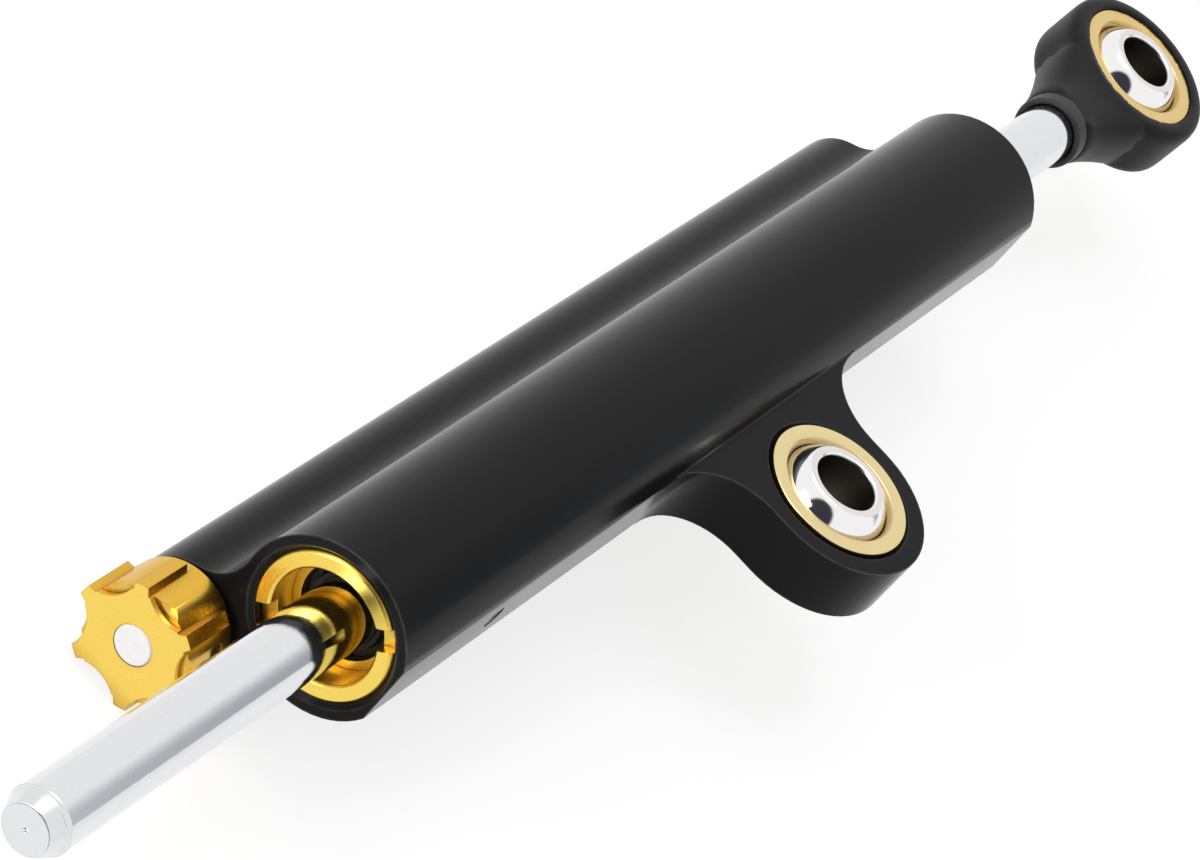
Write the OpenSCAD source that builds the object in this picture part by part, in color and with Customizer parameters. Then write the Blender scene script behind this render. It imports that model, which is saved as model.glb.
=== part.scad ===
// Motorcycle steering damper: a through-rod hydraulic damper with a lug mount,
// a spherical rod-end eye and a click adjuster. Sizes in millimetres.
// Frame: origin at the centre of the lug's spherical bearing, +X along the rod towards
// the rod-end eye, +Z along the lug's bolt axis. The rod lies on the +Y side of the lug.

/* [Body] */
// Length of the body between its two end faces
body_len = 153; // [151:1:160]
// Distance from the front end face to the lug's bolt axis
lug_x = 80.7; // [78:0.1:83]
// Distance from the lug's bolt axis to the rod's axis
lug_off = 22.2; // [21.6:0.1:24]
// Outside diameter of the main tube
main_d = 21.4; // [21:0.1:23]
// Outside diameter of the adjuster tube
side_d = 13.4; // [13:0.1:14]
// Height of the adjuster tube's axis over the rod's axis
side_dy = 12.5; // [12.2:0.1:13.5]
// Setback of the adjuster tube's axis behind the rod's axis
side_dz = 13.2; // [12.8:0.1:14]
// Radius of the valleys between the two tubes
web_fillet = 6; // [4:0.5:8]
// Radius of the lug's rounded end
lug_r = 12.3; // [12:0.1:14]
// Thickness of the lug and width of the milled flat
lug_t = 8.4; // [7.8:0.1:8.8]
// Plan radius at the two roots of the lug
lug_fillet = 9.8; // [7:0.1:11]
// Radius where the lug's faces run into the main tube
face_fillet = 1.2; // [0.8:0.1:2]

/* [Spherical bearings] */
// Bolt diameter of both bearings
bolt_d = 8; // [6:0.5:8.5]
// Ball diameter
ball_d = 15.88; // [15.5:0.01:16]
// Width of the ball
ball_w = 12; // [11:0.5:12.5]
// Outside diameter of the race
race_d = 19; // [18.6:0.1:20]
// Width of the race
race_w = 9; // [8.9:0.1:9.5]

/* [Rod and piston] */
// Rod diameter
rod_d = 8; // [7.5:0.1:8.2]
// Overhang of the rod's tip in front of the body
tip_reach = 54.8; // [52:0.1:58]
// Length of the reduced nose at the rod's tip
nose_len = 5.6; // [4:0.1:6]
// Diameter of the nose
nose_d = 7.1; // [6:0.1:7.2]
// Length of the bump stop in front of the eye
stop_len = 2.7; // [2:0.1:6]
// Distance from the rear face to the eye's bolt axis
eye_reach = 49.4; // [49:0.1:54]
// Turn of the eye about the rod in the rest pose, degrees
eye_roll = 6.8; // [0:0.2:15]
// Radius of the eye's housing
eye_r = 12.05; // [11.8:0.05:13]
// Thickness of the eye's housing
eye_t = 9.7; // [9.4:0.1:11]
// Radius along the housing's two rims
eye_edge = 1.6; // [1:0.1:1.9]
// Distance from the eye's bolt axis to the front of its neck
neck_at = 20.7; // [20:0.1:22]
// Radius of the neck at its front
neck_r = 5.1; // [5:0.1:5.8]
// Flare of the neck, degrees
neck_lean = 18; // [14:1:22]
// Distance from the front face to the middle of the piston
piston_at = 62.5; // [60:0.5:66]
// Length of the piston
piston_len = 12; // [10:0.5:14]

/* [Cylinder ends] */
// Cylinder bore
bore_d = 15; // [14.6:0.1:15.4]
// Diameter of the end pockets and of the lock rings
pocket_d = 17.8; // [17.4:0.1:18]
// Depth of the end pockets
pocket_len = 9; // [8.5:0.1:10]
// Thickness of a lock ring
ring_t = 4.5; // [3.5:0.1:5]
// Opening of a lock ring
ring_id = 13.4; // [12.6:0.1:13.8]
// Width of the two spanner slots
slot_w = 2.6; // [2:0.1:3.2]
// Depth of the spanner slots
slot_depth = 1.7; // [1:0.1:2.2]
// Turn of the spanner slots, degrees
slot_turn = 50; // [0:1:90]
// Reach of a seal head into the body
head_len = 19; // [18:0.5:21]

/* [Adjuster] */
// Diameter over the knob's ribs
knob_d = 15.8; // [15.2:0.1:16.4]
// Length of the knob
knob_len = 9.2; // [8.5:0.1:11]
// Diameter of the knob between its ribs
knob_core_d = 13.8; // [13:0.1:14.4]
// Number of ribs
ribs = 6; // [5:1:7]
// Width of a rib at its tip
rib_w = 1.6; // [1.2:0.1:1.8]
// Turn of the first rib, degrees
rib_turn = 35; // [0:1:60]
// Diameter of the adjuster bore
valve_d = 9; // [8.8:0.1:9.4]
// Diameter of the spindle
spindle_d = 4; // [3.6:0.1:4.2]

/* [Reservoir] */
// Diameter of the reservoir bore
res_d = 10; // [9.6:0.1:10.2]
// Depth of the reservoir bore
res_len = 34; // [32:1:40]
// Curls of the reservoir spring
spring_turns = 4; // [3:0.5:4]
// Wire diameter of the reservoir spring
spring_wire = 0.9; // [0.7:0.05:1]

/* [Clearances] */
// Radial clearance of a piece that stays in its seat
seat_gap = 0.04; // [0.02:0.01:0.06]
// Radial clearance of a piece that moves in its seat
run_gap = 0.05; // [0.03:0.01:0.08]
// Gap between end faces that pass each other
face_gap = 0.3; // [0.2:0.05:0.4]

/* [View] */
// Sub-part to draw

/* [Hidden] */
$fn = 96;

// Body
front_x = -lug_x;
rear_x = body_len - lug_x;
main_r = main_d / 2;
side_r = side_d / 2;
side_y = lug_off + side_dy;
side_z = -side_dz;
side_c = [side_dz, side_dy];
flat_h = sqrt(main_r * main_r - lug_t * lug_t / 4);
flat_y = lug_off - flat_h;
lip = 0.6;
edge = 0.5;

// Bearings
bolt_r = bolt_d / 2;
ball_r = ball_d / 2;
race_r = race_d / 2;
race_mouth = 0.8;

// Cylinder ends, lengths from the end face inward
bore_r = bore_d / 2;
pocket_r = pocket_d / 2;
ring_r = ring_id / 2;
ring_in = 0.15;
head_in = ring_in + ring_t;
rod_r = rod_d / 2;
wiper_r = rod_r + 1.65;
wiper_in = head_in + 0.5;
wiper_len = 3;
seal_r = rod_r + 2;
seal_in = wiper_in + wiper_len + 2;
seal_len = 2.6;
oring = 1.4;
oring_in = seal_in + seal_len + 0.9;

// Rod
tip_x = front_x - tip_reach;
nose_x = tip_x + nose_len;
nose_r = nose_d / 2;
eye_x = rear_x + eye_reach;
neck_x = eye_x - neck_at;
neck_t = eye_t - 0.7;
stop_r = 5;
stop_x = neck_x - stop_len;
stud_r = 3;
rod_end = eye_x - race_r - 2;
piston_x = front_x + piston_at;
piston_r = bore_r - 0.3;
band_w = 4.6;
band_t = 0.9;
clip_t = 1;
clip_r = rod_r + 1.1;
clip_groove = rod_r - 0.6;

// Adjuster, lengths from the body's front face inward
valve_r = valve_d / 2;
spindle_r = spindle_d / 2;
bush_len = 5;
collar_in = bush_len + face_gap;
collar_len = 2;
stem_in = collar_in + collar_len;
stem_len = 6.7;
stem_r = 2.6;
needle_r = 1.25;
needle_in = stem_in + 0.7;
key_in = stem_in + stem_len + 1.6;
key_r = 2.2;
key_flat = 3.4;
key_len = 4;
seat_in = key_in + 1;
orifice_in = seat_in + 7;
orifice_r = 1.1;
orifice_len = 2;
valve_len = orifice_in + orifice_len + 0.2;
knob_r = knob_d / 2;
core_r = knob_core_d / 2;
knob_in = -face_gap - knob_len;
dish = 0.35;
dish_r = 4.3;
cap_in = knob_in + dish;
cap_r = 2.45;
cap_t = 0.8;
rib_step = 360 / ribs;
rib_root = rib_w + 0.8;
rib_stop = 1;
hollow_deep = 0.95;
hollow_len = 1.7;
hollow_half = rib_step / 2 - asin(rib_root / 2 / core_r) - 3;
hollow_sag = hollow_deep - core_r * (1 - cos(hollow_half));
hollow_r = (pow(core_r * sin(hollow_half), 2) + hollow_sag * hollow_sag) / (2 * hollow_sag);
hollow_at = core_r - hollow_deep + hollow_r;
grub_in = -face_gap - 3.2;
detent_at = 3.55;
detent_r = 0.6;
detent_len = 3.6;
detent_coil_r = 0.4;
detent_coil = detent_len - detent_r - 0.1;
detent_wire = 0.25;
detent_turns = 3;
port_r = 0.9;
gallery_r = 1.6;

// Reservoir, lengths from the body's rear face inward
res_r = res_d / 2;
clip_in = 0.7;
plug_clip_t = 0.8;
plug_in = clip_in + plug_clip_t + 0.1;
plug_len = 5;
float_in = 14.5;
float_len = 5;
float_groove = 1.2;
spring_r = 3.5;
spring_len = float_in - plug_in - plug_len - 0.2;

echo(coil_gap_mm = spring_gap(spring_r, spring_wire, spring_len, spring_turns));
echo(detent_gap_mm = spring_gap(detent_coil_r, detent_wire, detent_coil, detent_turns));

// Least distance between neighbouring curls of a spring, wire to wire, on sampled points.
function spring_gap(r, wire, len, turns) =
  min([for (i = [0 : 4 : 40])
    min([for (j = [-8 : 1 : 8])
      let (rise = len - wire, s = i / 48, next = s + (1 + j / 64) / turns)
      norm(helix(r, rise, turns, s) - helix(r, rise, turns, next))])])
  - wire;

// Point of a helix about Z; s runs from 0 to 1.
function helix(r, len, turns, s) = [r * cos(360 * turns * s), r * sin(360 * turns * s), len * s];

// Places children on an axis along X; their Z becomes +X.
module on_x(x, y = lug_off, z = 0) {
  translate([x, y, z]) rotate([0, 90, 0]) children();
}

// Places children at the front face, Z inward.
module from_front(y = lug_off, z = 0) {
  on_x(front_x, y, z) children();
}

// Places children at the rear face, Z inward.
module from_rear(y = lug_off, z = 0) {
  translate([rear_x, y, z]) rotate([0, -90, 0]) children();
}

// Places children at the eye's centre, turned with the eye.
module at_eye() {
  translate([eye_x, lug_off, 0]) rotate([eye_roll, 0, 0]) children();
}

// Ring between two radii and two heights.
module ring(r_in, r_out, z0, z1) {
  rotate_extrude() translate([r_in, z0]) square([r_out - r_in, z1 - z0]);
}

// Disc or rod between two heights.
module pin(r, z0, z1) {
  translate([0, 0, z0]) cylinder(r = r, h = z1 - z0);
}

// Ring of round section.
module oring_at(r_mid, section, z) {
  translate([0, 0, z]) rotate_extrude() translate([r_mid, 0]) circle(d = section, $fn = 32);
}

// Round-wire coil about Z as one unbroken tube, standing on z = 0.
module coil(r, wire, len, turns) {
  sides = 6;
  steps = ceil(8 * turns);
  rise = len - wire;
  lean = atan2(rise, 2 * PI * r * turns);
  points = [for (i = [0 : steps]) for (k = [0 : sides - 1])
    let (a = 360 * turns * i / steps, b = 360 * k / sides, out = cos(b), up = sin(b))
    [(r + wire / 2 * out) * cos(a) + wire / 2 * up * sin(lean) * sin(a),
     (r + wire / 2 * out) * sin(a) - wire / 2 * up * sin(lean) * cos(a),
     wire / 2 + rise * i / steps + wire / 2 * up * cos(lean)]];
  walls = [for (i = [0 : steps - 1]) for (k = [0 : sides - 1])
    let (n = (k + 1) % sides)
    [i * sides + k, (i + 1) * sides + k, (i + 1) * sides + n, i * sides + n]];
  first = [for (k = [0 : sides - 1]) k];
  last = [for (k = [0 : sides - 1]) steps * sides + sides - 1 - k];
  polyhedron(points, concat(walls, [first], [last]), convexity = 4);
}

// Valley patch between the two tubes on one side of their common line.
module web_half(s) {
  d = norm(side_c);
  a = main_r + web_fillet;
  b = side_r + web_fillet;
  along = (d * d + a * a - b * b) / (2 * d);
  across = sqrt(a * a - along * along);
  e = side_c / d;
  c = e * along + s * across * [-e[1], e[0]];
  difference() {
    polygon([[0, 0], side_c, c]);
    translate(c) circle(r = web_fillet);
  }
}

// Section of the body, square to the rod: two tubes, their web and the milled flat.
module body_profile() {
  difference() {
    union() {
      circle(r = main_r);
      translate(side_c) circle(r = side_r);
      web_half(1);
      web_half(-1);
    }
    translate([-main_r, -flat_h - main_r]) square([2 * main_r, main_r]);
  }
}

// Plan of the lug with its two root radii.
module lug_plan() {
  root = 1.5;
  circle(r = lug_r);
  translate([-lug_r, 0]) square([2 * lug_r, flat_y + root]);
  for (s = [0, 1]) mirror([s, 0]) difference() {
    translate([lug_r - 0.5, flat_y - lug_fillet]) square([lug_fillet + 0.5, lug_fillet + root]);
    translate([lug_r + lug_fillet, flat_y - lug_fillet]) circle(r = lug_fillet);
  }
}

// Section of the small fillets where the lug's faces meet the main tube.
module face_fillets() {
  out = lug_t / 2 + face_fillet;
  down = sqrt(pow(main_r + face_fillet, 2) - out * out);
  for (s = [-1, 1]) difference() {
    polygon([[0, 0], [s * out, -down], [s * lug_t / 2, -down], [0, -down]]);
    translate([s * out, -down]) circle(r = face_fillet);
  }
}

// Round pocket with a broken edge, cut from an end face inward.
module end_pocket() {
  pin(pocket_r, -1, pocket_len);
  translate([0, 0, -0.01]) cylinder(r1 = pocket_r + lip, r2 = pocket_r, h = lip);
}

// Body: both tubes, web and lug, machined from one piece.
module damper_body() {
  color([0.09, 0.09, 0.1]) difference() {
    union() {
      on_x(front_x) linear_extrude(body_len) body_profile();
      translate([0, 0, -lug_t / 2]) linear_extrude(lug_t) lug_plan();
      intersection() {
        on_x(-lug_r - lug_fillet) linear_extrude(2 * (lug_r + lug_fillet)) face_fillets();
        translate([0, 0, -lug_t]) linear_extrude(2 * lug_t) lug_plan();
      }
    }
    from_front() pin(bore_r, -1, body_len + 1);
    from_front() end_pocket();
    from_rear() end_pocket();
    pin(race_r + seat_gap, -lug_t, lug_t);
    for (s = [0, 1]) mirror([0, 0, s]) translate([0, 0, lug_t / 2 - edge])
      cylinder(r1 = race_r + seat_gap, r2 = race_r + seat_gap + edge + 0.01, h = edge + 0.01);
    from_front(side_y, side_z) pin(valve_r, -1, valve_len);
    from_front(side_y, side_z) pin(gallery_r, valve_len - 1, body_len - res_len + 1);
    from_rear(side_y, side_z) pin(res_r, -1, res_len);
    from_rear(side_y, side_z) pin(res_r + 0.5, clip_in, clip_in + plug_clip_t);
    port(front_x + orifice_in - 1.6);
    port(rear_x - res_len + 6);
    bleed_axis() pin(1.55, -1, flat_h - bore_r + 1);
  }
}

// Drilled way between the cylinder and the adjuster tube.
module port(x) {
  turn = atan2(side_dz, side_dy);
  translate([x, lug_off, 0]) rotate([-turn, 0, 0]) rotate([-90, 0, 0])
    pin(port_r, bore_r - 1, norm(side_c) - 1);
}

// Places children on the bleed screw's axis, Z inward from the flat.
module bleed_axis() {
  translate([front_x + head_len + 3.5, flat_y, 0]) rotate([-90, 0, 0]) children();
}

// Ring nut with two spanner slots.
module lock_ring() {
  difference() {
    rotate_extrude() polygon([[ring_r, ring_in + 0.3], [ring_r + 0.3, ring_in],
      [pocket_r - seat_gap - 0.4, ring_in], [pocket_r - seat_gap, ring_in + 0.4],
      [pocket_r - seat_gap, head_in], [ring_r, head_in]]);
    rotate([0, 0, slot_turn]) translate([-pocket_r - 1, -slot_w / 2, -1])
      cube([2 * pocket_r + 2, slot_w, slot_depth + ring_in + 1]);
  }
}

// Guide bush and seal carrier, seated on the shoulder of the end pocket.
module seal_head() {
  out = bore_r - seat_gap;
  flange = pocket_r - seat_gap;
  hole = rod_r + run_gap;
  floor_r = bore_r - oring - 0.1;
  rotate_extrude() polygon([[wiper_r, head_in], [flange, head_in], [flange, pocket_len],
    [out, pocket_len], [out, oring_in], [floor_r, oring_in], [floor_r, oring_in + oring + 0.4],
    [out, oring_in + oring + 0.4], [out, head_len - 0.6], [out - 0.6, head_len], [hole, head_len],
    [hole, seal_in + seal_len], [seal_r, seal_in + seal_len], [seal_r, seal_in],
    [hole, seal_in], [hole, wiper_in + wiper_len], [wiper_r, wiper_in + wiper_len]]);
}

// Wiper with a lip that leans out along the rod.
module wiper() {
  hole = rod_r + run_gap;
  rim = wiper_r - seat_gap;
  rotate_extrude() polygon([[hole, wiper_in - 0.3], [hole + 0.5, wiper_in - 0.3],
    [hole + 0.8, wiper_in + 0.9], [rim, wiper_in + 0.9], [rim, wiper_in + wiper_len],
    [hole + 0.5, wiper_in + wiper_len], [hole, wiper_in + 1]]);
}

// Lip seal in the seal head's inner groove.
module rod_seal() {
  hole = rod_r + run_gap;
  rim = seal_r - seat_gap;
  rotate_extrude() polygon([[hole, seal_in + 0.1], [rim, seal_in + 0.1],
    [rim, seal_in + seal_len - 0.1], [rim - 0.5, seal_in + seal_len - 0.1],
    [hole + 0.7, seal_in + seal_len - 1], [hole, seal_in + seal_len - 0.1]]);
}

// Static ring on the seal head.
module head_oring() {
  oring_at(bore_r - oring / 2 - 0.05, oring, oring_in + oring / 2 + 0.2);
}

module front_lock_ring() {
  color([0.85, 0.62, 0.15]) from_front() lock_ring();
}

module front_seal_head() {
  color([0.83, 0.6, 0.16]) from_front() seal_head();
}

module front_wiper() {
  color([0.05, 0.05, 0.05]) from_front() wiper();
}

module front_rod_seal() {
  color([0.07, 0.07, 0.07]) from_front() rod_seal();
}

module front_head_oring() {
  color([0.06, 0.06, 0.06]) from_front() head_oring();
}

module rear_lock_ring() {
  color([0.85, 0.62, 0.15]) from_rear() lock_ring();
}

module rear_seal_head() {
  color([0.83, 0.6, 0.16]) from_rear() seal_head();
}

module rear_wiper() {
  color([0.05, 0.05, 0.05]) from_rear() wiper();
}

module rear_rod_seal() {
  color([0.07, 0.07, 0.07]) from_rear() rod_seal();
}

module rear_head_oring() {
  color([0.06, 0.06, 0.06]) from_rear() head_oring();
}

// Outer race with a spherical seat and wide mouths.
module race() {
  mouth = sqrt(pow(ball_r + run_gap, 2) - pow(race_w / 2 - race_mouth, 2));
  difference() {
    ring(1, race_r, -race_w / 2, race_w / 2);
    sphere(r = ball_r + run_gap);
    for (s = [0, 1]) mirror([0, 0, s]) translate([0, 0, race_w / 2 - race_mouth])
      cylinder(r1 = mouth, r2 = mouth + 0.5, h = race_mouth + 0.01);
  }
}

// Ball with two flats and a chamfered bolt hole.
module ball() {
  difference() {
    intersection() {
      sphere(r = ball_r);
      cube([ball_d + 1, ball_d + 1, ball_w], center = true);
    }
    pin(bolt_r, -ball_w, ball_w);
    for (s = [0, 1]) mirror([0, 0, s]) translate([0, 0, ball_w / 2 - 0.3])
      cylinder(r1 = bolt_r, r2 = bolt_r + 0.31, h = 0.31);
  }
}

module lug_race() {
  color([0.8, 0.6, 0.28]) race();
}

module lug_ball() {
  color([0.86, 0.86, 0.88]) ball();
}

// Slotted screw that closes the filling hole in the flat.
module bleed_screw() {
  color([0.12, 0.12, 0.13]) bleed_axis() difference() {
    pin(1.55 - seat_gap, 0.1, flat_h - bore_r - 0.2);
    translate([-2, -0.25, -1]) cube([4, 0.5, 1.8]);
  }
}

// Bush that closes the adjuster bore and carries the spindle.
module adjuster_bush() {
  groove = valve_r - 1;
  color([0.1, 0.1, 0.11]) from_front(side_y, side_z) difference() {
    rotate_extrude() polygon([[spindle_r + run_gap, 0], [valve_r - seat_gap, 0],
      [valve_r - seat_gap, 1.8], [groove, 1.8], [groove, 3.2], [valve_r - seat_gap, 3.2],
      [valve_r - seat_gap, bush_len], [spindle_r + run_gap, bush_len],
      [spindle_r + run_gap, bush_len - 1.2], [spindle_r + 0.9, bush_len - 1.2],
      [spindle_r + 0.9, bush_len - 2.4], [spindle_r + run_gap, bush_len - 2.4]]);
    oring_at(detent_at, 2 * detent_r + 0.1, -face_gap / 2);
  }
}

module bush_oring() {
  color([0.06, 0.06, 0.06]) from_front(side_y, side_z) oring_at(valve_r - 0.52, 0.9, 2.5);
}

module spindle_oring() {
  color([0.06, 0.06, 0.06]) from_front(side_y, side_z)
    oring_at(spindle_r + 0.48, 0.8, bush_len - 1.8);
}

// Keyed guide and orifice at the bottom of the adjuster bore.
module valve_seat() {
  turn = atan2(side_dz, side_dy);
  color([0.75, 0.58, 0.3]) from_front(side_y, side_z) difference() {
    pin(valve_r - seat_gap, seat_in, orifice_in + orifice_len);
    translate([0, 0, seat_in - 1]) linear_extrude(5) key_hole(run_gap);
    pin(3, seat_in + 4, orifice_in);
    pin(orifice_r, orifice_in - 1, orifice_in + orifice_len + 1);
    translate([0, 0, orifice_in - 1.6]) rotate([0, 0, -turn]) rotate([90, 0, 0])
      pin(port_r, 0, valve_r + 1);
  }
}

// Round section with two flats, grown by a clearance.
module key_hole(gap) {
  intersection() {
    circle(r = key_r + gap);
    square([2 * key_r + 1, key_flat + 2 * gap], center = true);
  }
}

// Needle: threaded shank, keyed guide and cone.
module valve_needle() {
  key_end = key_in + key_len;
  color([0.7, 0.7, 0.72]) from_front(side_y, side_z) union() {
    pin(needle_r - run_gap, needle_in + 0.8, key_in + 0.5);
    translate([0, 0, key_in]) linear_extrude(key_len) key_hole(0);
    pin(1, key_end - 0.5, key_end + 1.5);
    translate([0, 0, key_end + 1.5]) cylinder(r1 = 1, r2 = 0.3, h = orifice_in - key_end + 0.7);
  }
}

// Spindle: collared shaft with the needle's socket at its inner end.
module adjuster_spindle() {
  color([0.72, 0.72, 0.74]) from_front(side_y, side_z) difference() {
    union() {
      pin(spindle_r, cap_in + cap_t + 0.2, collar_in + 0.5);
      pin(stem_r + 0.6, collar_in, stem_in);
      pin(stem_r, stem_in - 0.5, stem_in + stem_len);
    }
    pin(needle_r, needle_in, stem_in + stem_len + 1);
  }
}

// Ends of the knob's ribs, seen along its axis.
module rib_plan() {
  intersection() {
    circle(r = knob_r);
    for (i = [0 : ribs - 1]) rotate(rib_turn + rib_step * i)
      polygon([[core_r - 1, -rib_root / 2], [knob_r + 0.1, -rib_w / 2],
        [knob_r + 0.1, rib_w / 2], [core_r - 1, rib_root / 2]]);
  }
}

// Knob: a turned core with low ribs, its front edge hollowed between them and its face dished.
module adjuster_knob() {
  lean = hollow_deep / hollow_len;
  color([0.9, 0.64, 0.14]) from_front(side_y, side_z) difference() {
    union() {
      rotate_extrude() polygon([[0, knob_in], [core_r, knob_in], [core_r, -face_gap - 0.4],
        [core_r - 0.4, -face_gap], [0, -face_gap]]);
      translate([0, 0, knob_in]) linear_extrude(knob_len - rib_stop) rib_plan();
    }
    for (i = [0 : ribs - 1]) rotate([0, 0, rib_turn + rib_step * (i + 0.5)])
      translate([hollow_at, 0, knob_in - 0.2]) cylinder(r1 = hollow_r + 0.2 * lean,
        r2 = hollow_r - (hollow_len + 0.1) * lean, h = hollow_len + 0.3);
    translate([0, 0, knob_in - 0.01]) cylinder(r1 = dish_r, r2 = cap_r + 0.25, h = dish + 0.01);
    pin(spindle_r + seat_gap, knob_in - 1, 1);
    pin(cap_r + seat_gap, knob_in - 1, cap_in + cap_t + 0.1);
    grub_axis() pin(1, 0, knob_r);
    detent_axis() pin(detent_r + run_gap, -1, detent_len);
  }
}

// Places children on the grub screw's axis, Z outward from the knob's axis.
module grub_axis() {
  translate([0, 0, grub_in]) rotate([0, 0, rib_turn - rib_step * 2.5]) rotate([0, 90, 0]) children();
}

// Places children on the detent's axis, Z outward from the bush.
module detent_axis() {
  translate([detent_at, 0, -face_gap / 2]) rotate([180, 0, 0]) children();
}

module knob_cap() {
  color([0.93, 0.93, 0.93]) from_front(side_y, side_z)
    rotate_extrude() polygon([[0, cap_in - 0.1], [cap_r - 0.2, cap_in - 0.1],
      [cap_r, cap_in + 0.1], [cap_r, cap_in + cap_t], [0, cap_in + cap_t]]);
}

// Headless screw with a hexagon socket that holds the knob on its spindle.
module knob_grub_screw() {
  color([0.1, 0.1, 0.11]) from_front(side_y, side_z) grub_axis() difference() {
    pin(1 - seat_gap, spindle_r + 0.05, core_r - 0.6);
    translate([0, 0, core_r - 1.8]) cylinder(d = 1.1, h = 2, $fn = 6);
  }
}

module detent_ball() {
  color([0.8, 0.8, 0.82]) from_front(side_y, side_z) detent_axis() sphere(r = detent_r);
}

module detent_spring() {
  color([0.6, 0.6, 0.62]) from_front(side_y, side_z) detent_axis()
    translate([0, 0, detent_r + 0.05]) coil(detent_coil_r, detent_wire, detent_coil, detent_turns);
}

// Separator piston of the reservoir, hollow on the spring's side.
module floating_piston() {
  out = res_r - run_gap;
  floor_r = res_r - float_groove;
  mid = float_in + float_len / 2;
  color([0.6, 0.62, 0.65]) from_rear(side_y, side_z)
    rotate_extrude() polygon([[0, float_in + 1.5], [2.4, float_in + 1.5], [2.4, float_in],
      [out, float_in], [out, mid - 0.7], [floor_r, mid - 0.7], [floor_r, mid + 0.7],
      [out, mid + 0.7], [out, float_in + float_len], [0, float_in + float_len]]);
}

module floating_seal() {
  color([0.06, 0.06, 0.06]) from_rear(side_y, side_z)
    oring_at(res_r - 0.6, 1.1, float_in + float_len / 2);
}

module reservoir_spring() {
  color([0.62, 0.62, 0.65]) from_rear(side_y, side_z) translate([0, 0, plug_in + plug_len + 0.1])
    coil(spring_r, spring_wire, spring_len, spring_turns);
}

// Plug behind the reservoir, with a tapped pull hole.
module reservoir_plug() {
  out = res_r - seat_gap;
  floor_r = res_r - float_groove;
  end = plug_in + plug_len;
  color([0.1, 0.1, 0.11]) from_rear(side_y, side_z)
    rotate_extrude() polygon([[0, plug_in + 3], [1.25, plug_in + 3], [1.25, plug_in],
      [out - 0.4, plug_in], [out, plug_in + 0.4], [out, end - 2.2], [floor_r, end - 2.2],
      [floor_r, end - 0.8], [out, end - 0.8], [out, end], [0, end]]);
}

module plug_oring() {
  color([0.06, 0.06, 0.06]) from_rear(side_y, side_z)
    oring_at(res_r - 0.6, 1.1, plug_in + plug_len - 1.5);
}

// Open retaining ring in the groove behind the plug.
module plug_clip() {
  color([0.25, 0.25, 0.26]) from_rear(side_y, side_z) difference() {
    ring(res_r - 1.1, res_r + 0.4, clip_in + 0.05, clip_in + plug_clip_t - 0.05);
    translate([0, -1.2, -1]) cube([res_r + 2, 2.4, 4]);
  }
}

// Rod with a centred, grooved nose, two clip grooves at the piston and a stud for the eye.
module piston_rod() {
  c1 = piston_x - piston_len / 2 - clip_t;
  c2 = piston_x + piston_len / 2;
  color([0.88, 0.88, 0.9]) on_x(0) rotate_extrude() polygon([[0, tip_x + 0.6],
    [0.6, tip_x], [nose_r - 1.3, tip_x], [nose_r - 0.4, tip_x + 0.5], [nose_r, tip_x + 1.4],
    [nose_r, nose_x - 0.9], [nose_r - 0.3, nose_x - 0.7], [nose_r - 0.3, nose_x - 0.3],
    [rod_r - 0.5, nose_x], [rod_r, nose_x + 0.7], [rod_r, c1], [clip_groove, c1], [clip_groove, c1 + clip_t],
    [rod_r, c1 + clip_t], [rod_r, c2], [clip_groove, c2], [clip_groove, c2 + clip_t],
    [rod_r, c2 + clip_t], [rod_r, neck_x - 0.05], [stud_r, neck_x - 0.05], [stud_r, rod_end - 0.5],
    [stud_r - 0.5, rod_end], [0, rod_end]]);
}

// Piston with a wide groove for its guide band and four through ways.
module piston() {
  h = piston_len / 2 - 0.05;
  floor_r = bore_r - band_t - 2 * run_gap;
  color([0.6, 0.5, 0.3]) on_x(piston_x) difference() {
    rotate_extrude() polygon([[rod_r + seat_gap, -h], [piston_r - 0.4, -h], [piston_r, 0.4 - h],
      [piston_r, -band_w / 2 - 0.1], [floor_r, -band_w / 2 - 0.1], [floor_r, band_w / 2 + 0.1],
      [piston_r, band_w / 2 + 0.1], [piston_r, h - 0.4], [piston_r - 0.4, h],
      [rod_r + seat_gap, h]]);
    for (a = [45 : 90 : 315]) rotate([0, 0, a]) translate([(rod_r + floor_r) / 2, 0, 0])
      pin(0.6, -piston_len, piston_len);
  }
}

module piston_band() {
  color([0.3, 0.28, 0.26]) on_x(piston_x)
    ring(bore_r - band_t - run_gap, bore_r - run_gap, -band_w / 2, band_w / 2);
}

// Two open retaining rings, one at each end of the piston.
module piston_clips() {
  color([0.3, 0.3, 0.31]) for (x = [piston_x - piston_len / 2 - clip_t, piston_x + piston_len / 2])
    on_x(x) difference() {
      ring(clip_groove + seat_gap, clip_r, 0.05, clip_t - 0.05);
      translate([0, -0.8, -1]) cube([clip_r + 1, 1.6, 3]);
    }
}

// Elastic stop on the rod, seated against the eye.
module bump_stop() {
  hole = rod_r + seat_gap;
  color([0.05, 0.05, 0.05]) on_x(stop_x) rotate_extrude() polygon([[hole, 0.5], [hole + 0.25, 0.1],
    [stop_r - 0.4, 0], [stop_r - 0.1, 0.15], [stop_r, 0.5], [stop_r, stop_len - 0.05],
    [hole, stop_len - 0.05]]);
}

// Half section of the eye's housing: a straight drum with two rounded rims.
module drum_half() {
  half = eye_t / 2;
  translate([0, -half]) square([eye_r - eye_edge, eye_t]);
  translate([0, eye_edge - half]) square([eye_r, eye_t - 2 * eye_edge]);
  for (s = [-1, 1]) translate([eye_r - eye_edge, s * (half - eye_edge)]) circle(r = eye_edge);
}

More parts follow.
